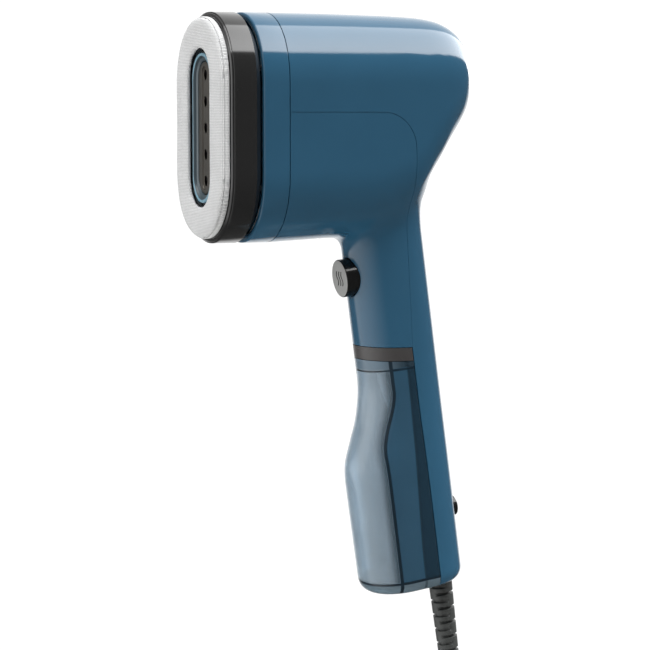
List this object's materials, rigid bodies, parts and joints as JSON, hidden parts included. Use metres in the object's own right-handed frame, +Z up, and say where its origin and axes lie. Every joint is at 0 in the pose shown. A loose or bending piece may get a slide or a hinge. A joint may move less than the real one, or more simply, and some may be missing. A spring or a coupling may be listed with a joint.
{
  "type": "handheld garment steamer",
  "caption": "Handheld garment steamer: deep oval steam head with a cloth pad, slim leaning grip with a trigger, clear slide-off water tank and a coiled cord.",
  "frame": {"origin": "on the grip axis, midway down the bare part of the grip where the hand closes round it", "axes": "+Z up as the steamer is held, -Y the way the steam blows, +X to the side the picture shows most of; the grip leans 7.6 degrees in the YZ plane with its foot to the rear"},
  "size_m": [0.0646, 0.1699, 0.4598],
  "materials": {
    "blue_housing": "gloss",
    "black_plastic": "satin",
    "dark_blue": "matte",
    "light_blue": "gloss",
    "clear_tank": "clear gloss",
    "pad_cloth": "woven",
    "sole_metal": "satin",
    "cast_metal": "cast",
    "steel": "brushed",
    "brass": "plain",
    "rubber": "matte",
    "hose": "plain",
    "board": "matte"
  },
  "bodies": {
    "body": {"front_housing": "blue_housing", "rear_cover": "blue_housing", "head_collar": "blue_housing", "dock_wall": "dark_blue", "neck_spacer": "dark_blue", "steam_ring": "black_plastic", "chamber_mount": "black_plastic", "trigger_switch": "black_plastic", "power_switch": "black_plastic", "pump_body": "black_plastic", "pump_outlet": "black_plastic", "cord_clamp": "black_plastic", "trim_ring": "light_blue", "sole_plate": "sole_metal", "steam_chamber": "cast_metal", "dock_screw_1": "steel", "dock_screw_2": "steel", "head_screw_1": "steel", "head_screw_2": "steel", "head_screw_3": "steel", "head_screw_4": "steel", "heating_element": "steel", "thermostat": "steel", "pad_magnet_top": "steel", "pad_magnet_bottom": "steel", "trigger_spring": "steel", "clamp_screw_1": "steel", "clamp_screw_2": "steel", "heater_pin_left": "brass", "heater_pin_right": "brass", "thermal_fuse": "brass", "chamber_inlet": "brass", "plug_pin_left": "brass", "plug_pin_right": "brass", "sole_gasket": "rubber", "dock_socket": "rubber", "strain_relief": "rubber", "lead_left": "rubber", "lead_right": "rubber", "cord_lead": "rubber", "cord_coil": "rubber", "cord_end": "rubber", "cord_tie": "rubber", "plug_body": "rubber", "suction_hose": "hose", "feed_hose": "hose", "control_board": "board"},
    "pad": {"pad_cloth": "pad_cloth", "pad_carrier": "steel"},
    "trigger": {"trigger_button": "black_plastic"},
    "switch": {"switch_plunger": "brass"},
    "power": {"power_button": "black_plastic"},
    "tank": {"tank_shell": "clear_tank", "tank_lid": "black_plastic", "tank_seal": "rubber", "tank_outlet": "black_plastic", "dip_hose": "hose", "inlet_filter": "black_plastic"},
    "filler": {"fill_plug": "rubber"},
    "plunger": {"pump_plunger": "steel"}
  },
  "joints": [
    {"name": "pad_pull", "type": "slide", "parent": "body", "child": "pad", "axis": [0, -1, 0], "range_m": [0, 0.02]},
    {"name": "trigger_press", "type": "slide", "parent": "body", "child": "trigger", "axis": [0, 0.9912, 0.1323], "range_m": [0, 0.003], "stiffness_N_per_m": 900, "springref_m": -0.002, "deforming": ["trigger_spring"]},
    {"name": "switch_press", "type": "slide", "parent": "body", "child": "switch", "axis": [0, 0.9912, 0.1323], "range_m": [0, 0.0009]},
    {"name": "power_press", "type": "slide", "parent": "body", "child": "power", "axis": [0, -0.9912, -0.1323], "range_m": [0, 0.001], "stiffness_N_per_m": 1200, "springref_m": -0.001},
    {"name": "tank_slide", "type": "slide", "parent": "body", "child": "tank", "axis": [0, 0.1323, -0.9912], "range_m": [0, 0.045]},
    {"name": "filler_lift", "type": "slide", "parent": "tank", "child": "filler", "axis": [0, -0.1323, 0.9912], "range_m": [0, 0.004]},
    {"name": "pump_stroke", "type": "slide", "parent": "body", "child": "plunger", "axis": [0, 0.1323, -0.9912], "range_m": [0, 0.003], "stiffness_N_per_m": 400, "springref_m": -0.002}
  ],
  "couplings": [
    {"joint": "switch_press", "follows": "trigger_press", "ratio": 0.3}
  ]
}
